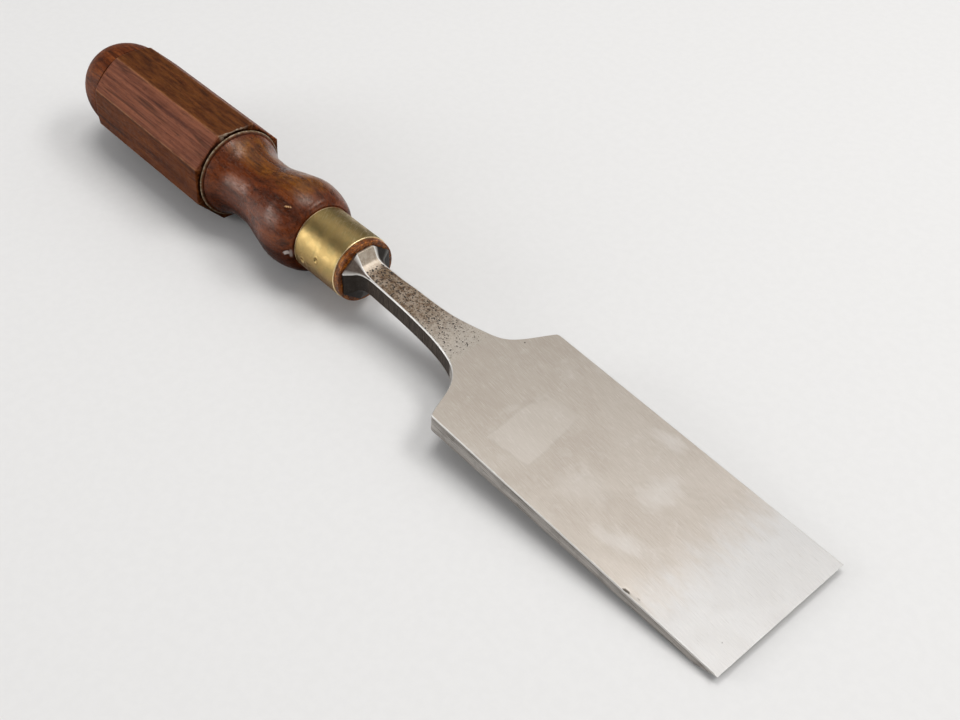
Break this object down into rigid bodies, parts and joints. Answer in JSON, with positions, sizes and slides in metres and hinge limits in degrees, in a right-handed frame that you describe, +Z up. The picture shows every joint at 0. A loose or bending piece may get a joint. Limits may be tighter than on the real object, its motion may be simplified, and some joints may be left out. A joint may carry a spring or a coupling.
{
  "type": "bench chisel",
  "caption": "Wide tanged bench chisel: flat square-edged steel blade with a ground bevel, leather washer, brass ferrule and turned octagonal hardwood handle with a domed butt.",
  "frame": {"origin": "on the bench plane, at the middle of the tool's length and width, with the chisel lying on its bevel heel and handle, flat face up", "axes": "+Z up from the bench, +X along the tool from the handle's butt towards the cutting edge, +Y across the blade"},
  "size_m": [0.327, 0.0508, 0.0368],
  "materials": {
    "steel": "satin ground flats, darker cross-ground sides, pitted neck",
    "hardwood": "reddish brown rosewood-like, matte on the facets and glossy on the turned part",
    "brass": "satin, lightly tarnished",
    "leather": "compressed layered leather, semi-gloss edge"
  },
  "bodies": {
    "root": {"blade": "steel", "handle": "hardwood", "ferrule": "brass", "leather_washer": "leather"}
  },
  "joints": []
}
